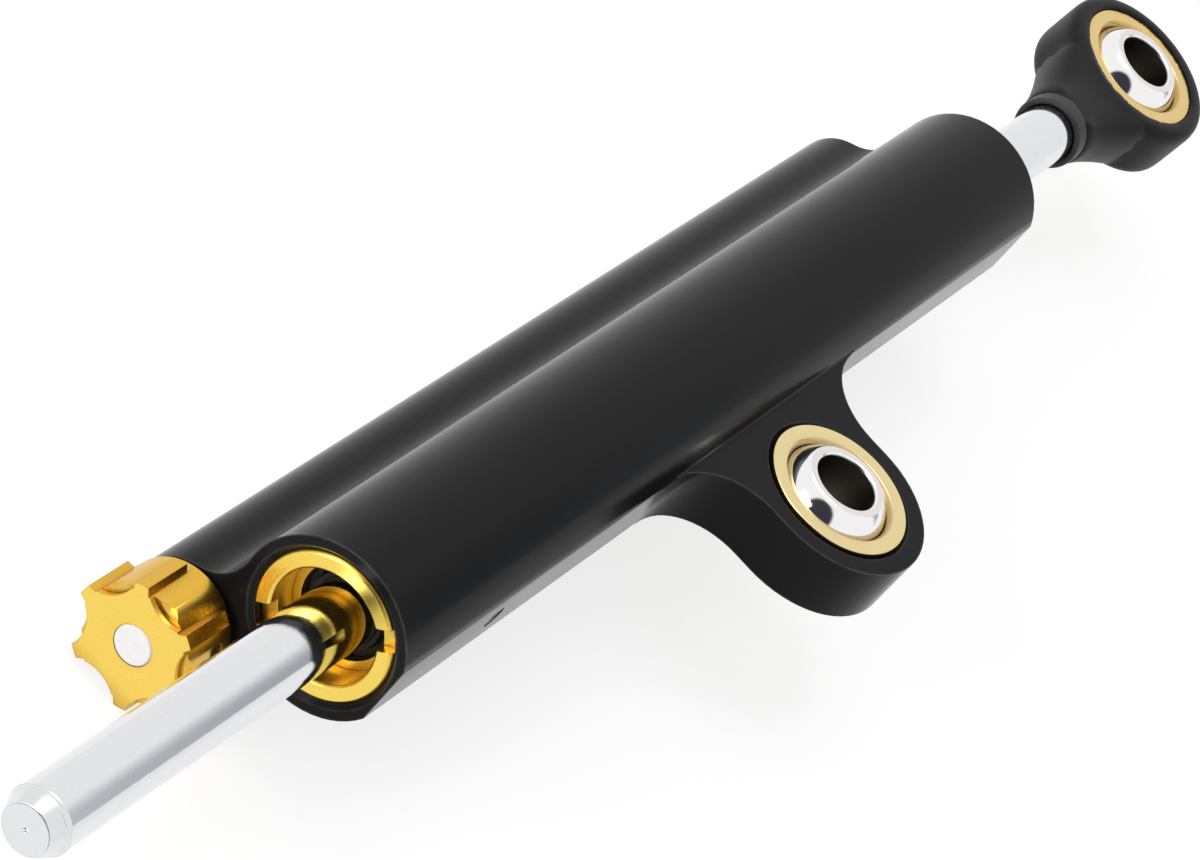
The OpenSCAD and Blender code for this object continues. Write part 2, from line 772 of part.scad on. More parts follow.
// Rod end: a drum round the bearing on a neck that flares into it, flat on two sides.
module rod_end_eye() {
  run = neck_at - race_r;
  color([0.08, 0.08, 0.09]) difference() {
    union() {
      at_eye() rotate_extrude() drum_half();
      intersection() {
        on_x(neck_x) cylinder(r1 = neck_r, r2 = neck_r + run * tan(neck_lean), h = run);
        at_eye() cube([2 * neck_at + 2, 4 * eye_r, neck_t], center = true);
      }
    }
    at_eye() pin(race_r + seat_gap, -eye_t, eye_t);
    on_x(0) pin(stud_r + seat_gap, neck_x - 1, rod_end + 0.3);
  }
}

module eye_race() {
  color([0.8, 0.6, 0.28]) at_eye() race();
}

module eye_ball() {
  color([0.86, 0.86, 0.88]) at_eye() ball();
}

damper_body();
front_lock_ring();
front_seal_head();
front_wiper();
front_rod_seal();
front_head_oring();
rear_lock_ring();
rear_seal_head();
rear_wiper();
rear_rod_seal();
rear_head_oring();
lug_race();
lug_ball();
bleed_screw();
adjuster_bush();
bush_oring();
spindle_oring();
valve_seat();
valve_needle();
adjuster_spindle();
adjuster_knob();
knob_cap();
knob_grub_screw();
detent_ball();
detent_spring();
floating_piston();
floating_seal();
reservoir_spring();
reservoir_plug();
plug_oring();
plug_clip();
piston_rod();
piston();
piston_band();
piston_clips();
bump_stop();
rod_end_eye();
eye_race();
eye_ball();
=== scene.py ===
"""Looks of a motorcycle steering damper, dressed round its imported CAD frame.

Every size is in metres, in the frame of the part: the origin is the centre of the lug's bearing,
+X runs along the rod towards the rod-end eye and +Z along the lug's bolt.
"""

import logging
import math
from dataclasses import dataclass, field
from enum import Enum
from typing import Any, Dict, List, Optional, Sequence, Tuple, Union

import bmesh
import bpy
import numpy as np
from mathutils import Matrix, Vector

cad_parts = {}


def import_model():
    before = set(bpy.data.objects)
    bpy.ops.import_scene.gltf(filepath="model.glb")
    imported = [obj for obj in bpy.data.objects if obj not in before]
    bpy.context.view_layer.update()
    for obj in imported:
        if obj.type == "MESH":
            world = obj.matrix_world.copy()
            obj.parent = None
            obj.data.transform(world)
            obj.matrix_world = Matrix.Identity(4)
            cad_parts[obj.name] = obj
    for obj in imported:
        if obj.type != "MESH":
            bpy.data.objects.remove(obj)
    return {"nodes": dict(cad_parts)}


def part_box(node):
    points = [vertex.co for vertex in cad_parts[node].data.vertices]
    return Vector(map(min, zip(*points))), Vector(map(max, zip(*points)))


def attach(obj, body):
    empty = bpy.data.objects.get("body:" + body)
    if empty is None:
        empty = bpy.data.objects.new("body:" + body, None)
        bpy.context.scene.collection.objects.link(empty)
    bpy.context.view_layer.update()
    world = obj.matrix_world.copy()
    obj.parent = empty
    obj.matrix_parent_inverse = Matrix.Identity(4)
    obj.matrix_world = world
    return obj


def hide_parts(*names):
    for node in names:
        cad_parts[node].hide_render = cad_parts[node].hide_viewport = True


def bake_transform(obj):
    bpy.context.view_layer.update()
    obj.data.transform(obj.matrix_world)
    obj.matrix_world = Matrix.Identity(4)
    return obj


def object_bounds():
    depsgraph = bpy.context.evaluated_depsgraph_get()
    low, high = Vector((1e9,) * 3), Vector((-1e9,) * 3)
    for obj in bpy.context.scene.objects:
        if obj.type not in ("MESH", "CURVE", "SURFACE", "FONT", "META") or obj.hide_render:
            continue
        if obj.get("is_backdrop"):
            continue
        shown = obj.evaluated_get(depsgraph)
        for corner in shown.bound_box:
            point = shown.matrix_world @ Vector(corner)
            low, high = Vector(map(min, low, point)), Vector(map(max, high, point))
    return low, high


LOG = logging.getLogger("steering_damper")
MM = 0.001
TINY = 1e-9

Colour = Tuple[float, float, float]
Point = Tuple[float, float, float]
Span = Tuple[float, float]

WHITE: Colour = (1.0, 1.0, 1.0)


def rgba(colour: Colour) -> Tuple[float, float, float, float]:
    """A colour with full alpha, as Blender's sockets take it."""
    return (colour[0], colour[1], colour[2], 1.0)


def toned(colour: Colour, factor: float) -> Colour:
    """A colour made darker or paler by a factor."""
    return (factor * colour[0], factor * colour[1], factor * colour[2])


class Signal:
    """A value in a shader, whose operators add Math nodes."""

    def __init__(self, graph: "Graph", socket: Optional[bpy.types.NodeSocket]) -> None:
        """Keeps the socket and the graph that it belongs to."""
        self.graph = graph
        self.socket = socket

    def math(self, operation: str, *others: "Operand") -> "Signal":
        """Adds one Math node with this value as its first operand.

        Args:
            operation: The node's operation.
            others: The second operand, where the operation has one.

        Returns:
            The node's value.
        """
        inputs: Dict[Union[int, str], Any] = {0: self}
        for index, other in enumerate(others):
            inputs[index + 1] = other
        return self.graph.node("ShaderNodeMath", {"operation": operation}, inputs)

    def _reflected(self, operation: str, first: float) -> "Signal":
        """A Math node with a number before this value."""
        return self.graph.node("ShaderNodeMath", {"operation": operation}, {0: first, 1: self})

    def __add__(self, other: "Operand") -> "Signal":
        """This value plus another."""
        return self.math("ADD", other)

    def __radd__(self, other: float) -> "Signal":
        """A number plus this value."""
        return self._reflected("ADD", other)

    def __rsub__(self, other: float) -> "Signal":
        """A number less this value."""
        return self._reflected("SUBTRACT", other)

    def __mul__(self, other: "Operand") -> "Signal":
        """This value times another."""
        return self.math("MULTIPLY", other)

    def __rmul__(self, other: float) -> "Signal":
        """A number times this value."""
        return self._reflected("MULTIPLY", other)

    def at_most(self, other: "Operand") -> "Signal":
        """The lesser of this value and another."""
        return self.math("MINIMUM", other)

    def at_least(self, other: "Operand") -> "Signal":
        """The greater of this value and another."""
        return self.math("MAXIMUM", other)

    def length(self) -> "Signal":
        """Length of this vector."""
        return self.graph.node("ShaderNodeVectorMath", {"operation": "LENGTH"}, {0: self}, "Value")

    def between(self, low: float, high: float) -> "Signal":
        """This value mapped smoothly from the span low to high onto 0 to 1.

        Args:
            low: The value that becomes 0.
            high: The value that becomes 1.

        Returns:
            A value from 0 to 1.
        """
        return self.graph.node(
            "ShaderNodeMapRange",
            {"interpolation_type": "SMOOTHSTEP"},
            {"Value": self, "From Min": low, "From Max": high},
        )


Operand = Union[Signal, float]


@dataclass(frozen=True)
class Axis:
    """A line that a piece is turned about."""

    origin: Point
    direction: Point


@dataclass(frozen=True)
class Noise:
    """Soft noise: its features per metre, its octaves and how strong the finer ones are."""

    scale: float
    detail: float = 2.0
    rough: float = 0.5

    def sockets(self) -> Dict[Union[int, str], Any]:
        """Values of the noise node's sockets."""
        return {"Scale": self.scale, "Detail": self.detail, "Roughness": self.rough}


class Graph:
    """A node tree that is written as expressions."""

    ray_samples = 6

    def __init__(self, tree: bpy.types.NodeTree) -> None:
        """Starts with an empty tree."""
        self.tree = tree
        tree.nodes.clear()

    def node(
        self,
        kind: str,
        settings: Optional[Dict[str, Any]] = None,
        inputs: Optional[Dict[Union[int, str], Any]] = None,
        output: Union[int, str] = 0,
    ) -> Signal:
        """Adds one node.

        Args:
            kind: The node's type.
            settings: Its properties, set before its sockets.
            inputs: Values or links of its sockets, by name or number.
            output: The socket to go on from.

        Returns:
            That output.
        """
        made = self.tree.nodes.new(kind)
        for name, value in (settings or {}).items():
            setattr(made, name, value)
        for key, value in (inputs or {}).items():
            if isinstance(value, Signal):
                self.tree.links.new(value.socket, made.inputs[key])
            else:
                made.inputs[key].default_value = value
        return Signal(self, made.outputs[output] if made.outputs else None)

    def place(self) -> Signal:
        """The point of the surface in its piece's own frame, in metres."""
        return self.node("ShaderNodeTexCoord", output="Object")

    def vector(self, operation: str, first: Any, second: Any, output: str = "Vector") -> Signal:
        """Adds one Vector Math node.

        Args:
            operation: The node's operation.
            first: A vector or its socket.
            second: A vector or its socket.
            output: Vector or Value.

        Returns:
            That output.
        """
        return self.node(
            "ShaderNodeVectorMath", {"operation": operation}, {0: first, 1: second}, output
        )

    def mix(self, share: Operand, first: Any, second: Any) -> Signal:
        """A colour between two others.

        Args:
            share: 0 gives the first, 1 the second.
            first: A colour or its socket.
            second: A colour or its socket.

        Returns:
            The mixed colour.
        """
        return self.node("ShaderNodeMix", {"data_type": "RGBA"}, {0: share, 6: first, 7: second}, 2)

    def noise(self, place: Signal, noise: Noise) -> Signal:
        """Noise that changes over a surface.

        Args:
            place: Where it is read.
            noise: What it is like.

        Returns:
            A value from 0 to 1.
        """
        return self.node(
            "ShaderNodeTexNoise",
            {"noise_dimensions": "3D"},
            {"Vector": place, **noise.sockets()},
        )

    def lines(self, run: Signal, noise: Noise) -> Signal:
        """Noise that changes along one value only, such as tool marks.

        Args:
            run: The value that it changes with, in metres.
            noise: What it is like.

        Returns:
            A value from 0 to 1.
        """
        return self.node(
            "ShaderNodeTexNoise",
            {"noise_dimensions": "1D"},
            {"W": run, **noise.sockets()},
        )

    def along(self, axis: Axis) -> Signal:
        """Distance along an axis from its origin."""
        arm = self.vector("SUBTRACT", self.place(), axis.origin)
        return self.vector("DOT_PRODUCT", arm, axis.direction, "Value")

    def radius(self, axis: Axis) -> Signal:
        """Distance from an axis."""
        arm = self.vector("SUBTRACT", self.place(), axis.origin)
        return self.vector("CROSS_PRODUCT", arm, axis.direction).length()

    def edges(self, width: float) -> Signal:
        """How much a surface turns within a width, which is high along edges.

        Args:
            width: How far about a point is looked.

        Returns:
            0 on a flat place, more on edges.
        """
        soft = self.node("ShaderNodeBevel", {"samples": self.ray_samples}, {"Radius": width})
        sharp = self.node("ShaderNodeNewGeometry", output="Normal")
        return 1.0 - self.vector("DOT_PRODUCT", soft, sharp, "Value")

    def hollow(self, reach: float) -> Signal:
        """How much of the view from a surface its own surroundings hide.

        Args:
            reach: How far the surroundings count.

        Returns:
            0 in the open, 1 where all is hidden.
        """
        open_share = self.node(
            "ShaderNodeAmbientOcclusion",
            {"samples": self.ray_samples},
            {"Distance": reach},
            "AO",
        )
        return 1.0 - open_share

    def facing(self, axis: Axis) -> Signal:
        """How squarely a surface faces along an axis: 1 on either end face, 0 on a flank.

        Args:
            axis: The axis.

        Returns:
            A value from 0 to 1.
        """
        normal = self.node("ShaderNodeNewGeometry", output="Normal")
        turned = self.vector("DOT_PRODUCT", normal, axis.direction, "Value")
        return turned * turned

    def bump(self, height: Signal, depth: float, strength: float) -> Signal:
        """A normal bent by a height.

        Args:
            height: 0 to 1 over the surface.
            depth: What a height of 1 stands for, in metres.
            strength: Share of the effect.

        Returns:
            The bent normal.
        """
        return self.node(
            "ShaderNodeBump", None, {"Strength": strength, "Distance": depth, "Height": height}
        )


@dataclass(frozen=True)
class Finish:
    """A surface with a colour, a gloss and fine detail of its own."""

    name: str
    colour: Colour
    roughness: float

    def surface(self, g: Graph) -> Dict[str, Any]:
        """Values of the surface shader.

        Args:
            g: The graph of the material.

        Returns:
            The shader's inputs by name.
        """
        raise NotImplementedError

    def material(self) -> bpy.types.Material:
        """The finish as a material, made once.

        Returns:
            The material, which later calls share.
        """
        known = bpy.data.materials.get(self.name)
        if known is not None:
            return known
        made = bpy.data.materials.new(self.name)
        made.use_nodes = True
        g = Graph(made.node_tree)
        shader = g.node("ShaderNodeBsdfPrincipled", None, self.surface(g))
        g.node("ShaderNodeOutputMaterial", None, {"Surface": shader})
        return made


@dataclass(frozen=True)
class BlastedAnodise(Finish):
    """Dark anodic film on blasted aluminium, with its edges painted paler: partly wear, partly a
    painted highlight.
    """

    # Edge colour: partly wear, partly a painted highlight along the edges.
    edge_glint_and_wear: Colour = (0.17, 0.17, 0.175)
    reflect: float = 0.09
    grain: Noise = Noise(9000.0)
    grain_depth: float = 0.004 * MM
    grain_haze: float = 0.04
    cloud: Noise = Noise(55.0, 3.0)
    cloud_tone: float = 1.35
    cloud_haze: float = 0.08
    gloss: float = 0.05
    glint_and_wear: Noise = Noise(500.0, 3.0)
    glint_and_wear_width: float = 0.45 * MM
    glint_and_wear_gain: float = 6.0
    glint_and_wear_share: float = 0.7

    def surface(self, g: Graph) -> Dict[str, Any]:
        """Fine grain, cloudy gloss and edges painted paler, partly as wear and partly as a painted
        highlight.

        Args:
            g: The graph of the material.

        Returns:
            The shader's inputs by name.
        """
        place = g.place()
        grain = g.noise(place, self.grain)
        cloud = g.noise(place, self.cloud)
        # Painted highlight along edges, broken up by noise like wear.
        edges = (g.edges(self.glint_and_wear_width) * self.glint_and_wear_gain).at_most(1.0)
        glint_and_wear = edges * g.noise(place, self.glint_and_wear)
        base = g.mix(cloud, rgba(self.colour), rgba(toned(self.colour, self.cloud_tone)))
        haze = self.roughness - self.gloss + self.cloud_haze * cloud + self.grain_haze * grain
        return {
            "Base Color": g.mix(glint_and_wear * self.glint_and_wear_share, base, rgba(self.edge_glint_and_wear)),
            "Roughness": haze,
            "Specular IOR Level": self.reflect,
            "Normal": g.bump(grain, self.grain_depth, strength=0.6),
        }


@dataclass(frozen=True)
class TurnedMetal(Finish):
    """Bright metal with the fine rings of a lathe tool."""

    axis: Axis = Axis((0.0, 0.0, 0.0), (1.0, 0.0, 0.0))
    # Colour that random tone and painted shade darken the metal towards.
    shade_and_tone: Colour = (0.5, 0.25, 0.03)
    # Flank colour: painted shade on surfaces that face away from the axis's ends.
    side: Colour = (0.7, 0.36, 0.025)
    flank_shade: float = 0.0
    # Strength of painted dark reflections along edges.
    painted_edge_lines: float = 0.0
    rings: Noise = Noise(1.0 / (0.12 * MM), 3.0, 0.6)
    ring_depth: float = 0.0012 * MM
    ring_shade: float = 0.08
    ring_haze: float = 0.1
    cloud: Noise = Noise(260.0, 3.0)
    cloud_shade: float = 0.08
    cloud_haze: float = 0.05
    gloss: float = 0.05
    # Painted shade in hollows: how far the surroundings count and how strong it is.
    hollow_reach: float = 3.0 * MM
    hollow_shade: float = 0.9
    face_span: Span = (0.2, 0.7)
    line_width: float = 0.35 * MM
    line_gain: float = 5.0

    def surface(self, g: Graph) -> Dict[str, Any]:
        """Rings about the axis, with painted shade in hollows and on flanks and painted dark
        reflections along edges.

        Args:
            g: The graph of the material.

        Returns:
            The shader's inputs by name.
        """
        run = g.along(self.axis) + g.radius(self.axis)
        rings = g.lines(run, self.rings)
        cloud = g.noise(g.place(), self.cloud)
        # Painted shade: darker where the piece's own surroundings hide the view from a surface.
        hidden = g.hollow(self.hollow_reach)
        shade = self.cloud_shade * cloud + self.ring_shade * rings + self.hollow_shade * hidden
        bright: Any = rgba(self.colour)
        # Painted shade on the flanks, which turn away from the axis.
        if self.flank_shade:
            aside = 1.0 - g.facing(self.axis).between(*self.face_span)
            bright = g.mix(aside * self.flank_shade, bright, rgba(self.side))
        # Painted dark reflections: dark lines along the rounded edges.
        if self.painted_edge_lines:
            edges = (g.edges(self.line_width) * self.line_gain).at_most(1.0)
            shade = shade + edges * self.painted_edge_lines
        haze = self.roughness - self.gloss + self.ring_haze * rings + self.cloud_haze * cloud
        return {
            "Base Color": g.mix(shade.at_most(1.0), bright, rgba(self.shade_and_tone)),
            "Metallic": 1.0,
            "Roughness": haze,
            "Normal": g.bump(rings, self.ring_depth, strength=0.5),
        }


@dataclass(frozen=True)
class GroundChrome(Finish):
    """Hard chrome, ground round and polished lengthways."""

    axis: Axis = Axis((0.0, 0.0, 0.0), (1.0, 0.0, 0.0))
    dull: Colour = (0.6, 0.63, 0.68)
    rings: Noise = Noise(9000.0, 2.0, 0.6)
    ring_haze: float = 0.03
    drawn: Noise = Noise(2600.0)
    drawn_stretch: Point = (0.1, 1.0, 1.0)
    spots: Noise = Noise(1500.0, 4.0, 0.65)
    mark_span: Span = (0.2, 0.5)
    mark_shade: float = 0.175
    mark_haze: float = 0.05
    satin_from: float = -1.0
    satin_fade: float = 0.1 * MM
    satin_shade: float = 0.15
    satin_haze: float = 0.12
    relief: Span = (0.05, 0.95)
    relief_depth: float = 0.01 * MM

    def surface(self, g: Graph) -> Dict[str, Any]:
        """Grinding rings, a mottled gloss and a satin nose beyond a place on the axis.

        Args:
            g: The graph of the material.

        Returns:
            The shader's inputs by name.
        """
        place = g.place()
        run = g.along(self.axis)
        rings = g.lines(run + g.radius(self.axis), self.rings)
        drawn = g.noise(g.vector("MULTIPLY", place, self.drawn_stretch), self.drawn)
        spots = g.noise(place, self.spots)
        mark = (drawn * spots).between(*self.mark_span)
        nose = 1.0 - run.between(self.satin_from - self.satin_fade, self.satin_from)
        shade = mark * self.mark_shade + nose * self.satin_shade
        haze = self.roughness + self.mark_haze * mark + self.ring_haze * rings
        height = rings * self.relief[0] + spots * self.relief[1]
        return {
            "Base Color": g.mix(shade, rgba(self.colour), rgba(self.dull)),
            "Metallic": 1.0,
            "Roughness": haze + self.satin_haze * nose,
            "Normal": g.bump(height, self.relief_depth, strength=0.7),
        }


@dataclass(frozen=True)
class PolishedSteel(Finish):
    """Bearing steel with a mirror polish and, in a ball, a hole painted darker and duller."""

    axis: Axis = Axis((0.0, 0.0, 0.0), (0.0, 0.0, 1.0))
    hole: float = 0.0
    # Colour inside the hole, darker than the rest.
    hole_darker: Colour = (0.11, 0.095, 0.08)
    flat: Colour = (0.78, 0.74, 0.72)
    marks: Noise = Noise(1400.0, 4.0, 0.7)
    mark_depth: float = 0.0004 * MM
    mark_tone: float = 0.8
    mark_share: float = 0.15
    smear: Noise = Noise(180.0)
    smear_haze: float = 0.05
    end_span: Span = (0.85, 0.95)
    end_haze: float = 0.12
    hole_fade: float = 0.15 * MM
    hole_haze: float = 0.3

    def surface(self, g: Graph) -> Dict[str, Any]:
        """Nearly even gloss with hair-fine marks, ground on the ends and painted darker and duller
        in the hole.

        Args:
            g: The graph of the material.

        Returns:
            The shader's inputs by name.
        """
        marks = g.noise(g.place(), self.marks)
        smear = g.noise(g.place(), self.smear)
        dull = toned(self.colour, self.mark_tone)
        skin = g.mix(marks * self.mark_share, rgba(self.colour), rgba(dull))
        ends = g.facing(self.axis).between(*self.end_span)
        # Darker, duller colour inside the hole.
        inside = 1.0 - g.radius(self.axis).between(self.hole, self.hole + self.hole_fade)
        haze = self.roughness + self.smear_haze * smear + self.end_haze * ends
        return {
            "Base Color": g.mix(inside, g.mix(ends, skin, rgba(self.flat)), rgba(self.hole_darker)),
            "Metallic": 1.0,
            "Roughness": haze + self.hole_haze * inside,
            "Normal": g.bump(marks, self.mark_depth, strength=0.3),
        }


@dataclass(frozen=True)
class Elastomer(Finish):
    """Moulded rubber or filled plastic, matt and slightly dusty."""

    dust: Colour = (0.05, 0.05, 0.052)
    dust_share: float = 0.7
    reflect: float = 0.35
    grain: Noise = Noise(4200.0, 3.0)
    grain_depth: float = 0.006 * MM
    cloud: Noise = Noise(420.0, 3.0)
    cloud_haze: float = 0.12

    def surface(self, g: Graph) -> Dict[str, Any]:
        """Moulded grain with dust in it.

        Args:
            g: The graph of the material.

        Returns:
            The shader's inputs by name.
        """
        grain = g.noise(g.place(), self.grain)
        cloud = g.noise(g.place(), self.cloud)
        return {
            "Base Color": g.mix(cloud * self.dust_share, rgba(self.colour), rgba(self.dust)),
            "Roughness": self.roughness + self.cloud_haze * cloud,
            "Specular IOR Level": self.reflect,
            "Normal": g.bump(grain, self.grain_depth, strength=0.5),
        }


@dataclass(frozen=True)
class PlainSteel(Finish):
    """Drawn or machined steel, bare or blackened."""

    tarnish: Colour = (0.2, 0.19, 0.18)
    tarnish_share: float = 0.6
    grain: Noise = Noise(6000.0)
    grain_depth: float = 0.002 * MM
    cloud: Noise = Noise(600.0, 4.0)
    cloud_haze: float = 0.15

    def surface(self, g: Graph) -> Dict[str, Any]:
        """Cloudy tarnish and a fine drawn grain.

        Args:
            g: The graph of the material.

        Returns:
            The shader's inputs by name.
        """
        cloud = g.noise(g.place(), self.cloud)
        grain = g.noise(g.place(), self.grain)
        return {
            "Base Color": g.mix(cloud * self.tarnish_share, rgba(self.colour), rgba(self.tarnish)),
            "Metallic": 1.0,
            "Roughness": self.roughness + self.cloud_haze * cloud,
            "Normal": g.bump(grain, self.grain_depth, strength=0.4),
        }


@dataclass(frozen=True)
class PaleDisc(Finish):
    """Frosted bare aluminium, almost white."""

    grain: Noise = Noise(7000.0)
    grain_depth: float = 0.002 * MM
    grain_haze: float = 0.1
    cloud: Noise = Noise(800.0, 3.0)
    cloud_tone: float = 0.86

    def surface(self, g: Graph) -> Dict[str, Any]:
        """A frosted grain with a slight cloud.

        Args:
            g: The graph of the material.

        Returns:
            The shader's inputs by name.
        """
        grain = g.noise(g.place(), self.grain)
        cloud = g.noise(g.place(), self.cloud)
        dull = toned(self.colour, self.cloud_tone)
        return {
            "Base Color": g.mix(cloud, rgba(self.colour), rgba(dull)),
            "Roughness": self.roughness + self.grain_haze * grain,
            "Normal": g.bump(grain, self.grain_depth, strength=0.4),
        }


class Line(Enum):
    """The lines that the turned pieces share."""

    ROD = Axis((0.0, 0.0222, 0.0), (1.0, 0.0, 0.0))
    KNOB = Axis((0.0, 0.0347, -0.0132), (1.0, 0.0, 0.0))
    LUG = Axis((0.0, 0.0, 0.0), (0.0, 0.0, 1.0))
    EYE = Axis((0.1217, 0.0222, 0.0), (0.0, -0.1184, 0.993))


class Stock:
    """The finishes of the damper."""

    BLACK = BlastedAnodise("black_anodise", (0.0075, 0.0075, 0.0079), 0.16)
    FORGED_BLACK = BlastedAnodise("forged_black", (0.007, 0.0068, 0.007), 0.42, reflect=0.15)
    # Every turned metal here gets painted shade in its hollows; gold_ring and gold_knob also get
    # painted dark reflections along edges, and gold_knob gets painted shade on its flanks.
    GOLD_RING = TurnedMetal(
        "gold_ring", (0.95, 0.71, 0.14), 0.25, Line.ROD.value, (0.4, 0.17, 0.014), painted_edge_lines=0.35
    )
    GOLD_KNOB = TurnedMetal(
        "gold_knob",
        (0.93, 0.67, 0.13),
        0.25,
        Line.KNOB.value,
        (0.3, 0.1, 0.006),
        flank_shade=0.62,
        painted_edge_lines=0.35,
    )
    LUG_BRASS = TurnedMetal(
        "lug_race_brass", (0.82, 0.68, 0.36), 0.2, Line.LUG.value, (0.36, 0.22, 0.07)
    )
    EYE_BRASS = TurnedMetal(
        "eye_race_brass", (0.8, 0.6, 0.24), 0.2, Line.EYE.value, (0.38, 0.22, 0.06)
    )
    PISTON_BRONZE = TurnedMetal(
        "piston_bronze", (0.62, 0.45, 0.2), 0.32, Line.ROD.value, (0.32, 0.2, 0.08)
    )
    SEAT_BRASS = TurnedMetal(
        "seat_brass", (0.72, 0.54, 0.24), 0.3, Line.KNOB.value, (0.38, 0.25, 0.09)
    )
    ROD_CHROME = GroundChrome(
        "rod_chrome", (0.77, 0.775, 0.79), 0.06, Line.ROD.value, satin_from=-131.0 * MM
    )
    LUG_STEEL = PolishedSteel("lug_ball_steel", (0.9, 0.89, 0.89), 0.06, Line.LUG.value, 4.02 * MM)
    EYE_STEEL = PolishedSteel("eye_ball_steel", (0.9, 0.89, 0.89), 0.06, Line.EYE.value, 4.02 * MM)
    BEAD_STEEL = PolishedSteel("bead_steel", (0.86, 0.86, 0.88), 0.08)
    RUBBER = Elastomer("seal_rubber", (0.012, 0.012, 0.013), 0.5)
    STOP_RUBBER = Elastomer("stop_rubber", (0.011, 0.011, 0.012), 0.42)
    GUIDE_BAND = Elastomer("guide_band", (0.07, 0.055, 0.045), 0.5, (0.12, 0.1, 0.09))
    STEEL = PlainSteel("bare_steel", (0.6, 0.6, 0.62), 0.25, (0.42, 0.41, 0.4))
    BLACK_STEEL = PlainSteel("black_steel", (0.035, 0.035, 0.037), 0.38, (0.06, 0.055, 0.05))
    BARE_ALLOY = TurnedMetal(
        "bare_alloy", (0.74, 0.75, 0.77), 0.3, Line.KNOB.value, (0.5, 0.51, 0.53)
    )
    PALE = PaleDisc("pale_disc", (0.92, 0.92, 0.92), 0.5)


class Bench:
    """Steps that the making of several pieces shares."""

    weld_reach = 0.0005 * MM

    @staticmethod
    def put(name: str, data: bpy.types.ID) -> bpy.types.Object:
        """Links a new object with some data into the scene.

        Args:
            name: Its name.
            data: Its mesh, light or camera.

        Returns:
            The object.
        """
        made = bpy.data.objects.new(name, data)
        bpy.context.scene.collection.objects.link(made)
        return made

    @classmethod
    def shape(cls, name: str, solid: bmesh.types.BMesh) -> bpy.types.Object:
        """Puts a built shape into the scene and frees it.

        Args:
            name: The object's name.
            solid: The shape.

        Returns:
            The object.
        """
        data = bpy.data.meshes.new(name)
        solid.to_mesh(data)
        solid.free()
        return cls.put(name, data)

    @classmethod
    def weld(cls, piece: bpy.types.Object) -> None:
        """Adds a modifier that joins points which lie on each other."""
        joined = piece.modifiers.new("weld", "WELD")
        joined.merge_threshold = cls.weld_reach

    @staticmethod
    def settle(blank: bpy.types.Object, finish: Finish) -> bpy.types.Mesh:
        """Turns a blank and its modifiers into one smooth mesh.

        Args:
            blank: The blank, which is taken away.
            finish: What the mesh is painted with.

        Returns:
            The mesh.
        """
        seen = blank.evaluated_get(bpy.context.evaluated_depsgraph_get())
        skin = bpy.data.meshes.new_from_object(seen)
        bpy.data.objects.remove(blank)
        skin.polygons.foreach_set("use_smooth", [True] * len(skin.polygons))
        skin.materials.clear()
        skin.materials.append(finish.material())
        return skin


@dataclass(frozen=True)
class EdgeBreak:
    """A small round along the sharp edges of a machined piece."""

    width: float = 0.2 * MM
    segments: int = 2
    angle: float = math.radians(30.0)
    flat_angle: float = math.radians(0.2)
    face_weight: int = 80

    def cut(self, piece: bpy.types.Object) -> None:
        """Adds the round to a piece as modifiers.

        Args:
            piece: The piece, whose mesh stays as it is.
        """
        Bench.weld(piece)
        flat = piece.modifiers.new("flat_faces", "DECIMATE")
        flat.decimate_type = "DISSOLVE"
        flat.angle_limit = self.flat_angle
        bevel = piece.modifiers.new("edge_break", "BEVEL")
        bevel.width = self.width
        bevel.segments = self.segments
        bevel.limit_method = "ANGLE"
        bevel.angle_limit = self.angle
        bevel.use_clamp_overlap = True
        normals = piece.modifiers.new("even_normals", "WEIGHTED_NORMAL")
        normals.weight = self.face_weight
        normals.keep_sharp = False


class Dresser:
    """Gives the frame's nodes their finishes and keeps count."""

    def __init__(self, nodes: Dict[str, bpy.types.Object]) -> None:
        """Keeps the frame's nodes."""
        self.nodes = nodes
        self.done: List[str] = []

    def dress(self, name: str, finish: Finish, edge: Optional[EdgeBreak] = None) -> None:
        """Paints one CAD node and breaks its edges.

        Args:
            name: The node.
            finish: Its finish.
            edge: The round along its sharp edges, if it shows.
        """
        piece = self.nodes[name]
        piece.data.materials.clear()
        piece.data.materials.append(finish.material())
        if edge is not None:
            edge.cut(piece)
        self.done.append(name)
        LOG.info("dressed %s in %s", name, finish.name)

    def left(self) -> List[str]:
        """The nodes that have no finish yet."""
        return sorted(set(self.nodes) - set(self.done))


@dataclass
class Body:
    """The machined body with its bleed screw."""

    edge: EdgeBreak = EdgeBreak(0.3 * MM, 3)
    screw_edge: EdgeBreak = EdgeBreak(0.08 * MM, 1)

    def dress(self, dresser: Dresser) -> None:
        """Paints the body and its screw."""
        dresser.dress("damper_body", Stock.BLACK, self.edge)
        dresser.dress("bleed_screw", Stock.BLACK_STEEL, self.screw_edge)


@dataclass
class CylinderEnd:
    """Lock ring, seal head, wiper and seals at one end."""

    end: str
    edge: EdgeBreak = EdgeBreak(0.12 * MM)

    def dress(self, dresser: Dresser) -> None:
        """Paints the pieces of this end.

        Args:
            dresser: What paints the frame's nodes.
        """
        dresser.dress(f"{self.end}_lock_ring", Stock.GOLD_RING, self.edge)
        dresser.dress(f"{self.end}_seal_head", Stock.GOLD_RING, self.edge)
        dresser.dress(f"{self.end}_wiper", Stock.RUBBER)
        dresser.dress(f"{self.end}_rod_seal", Stock.RUBBER)
        dresser.dress(f"{self.end}_head_oring", Stock.RUBBER)


@dataclass
class Bearing:
    """Race and ball of one spherical bearing."""

    place: str
    brass: Finish
    steel: Finish
    edge: EdgeBreak = EdgeBreak(0.15 * MM)

    def dress(self, dresser: Dresser) -> None:
        """Paints the race and the ball."""
        dresser.dress(f"{self.place}_race", self.brass, self.edge)
        dresser.dress(f"{self.place}_ball", self.steel, self.edge)


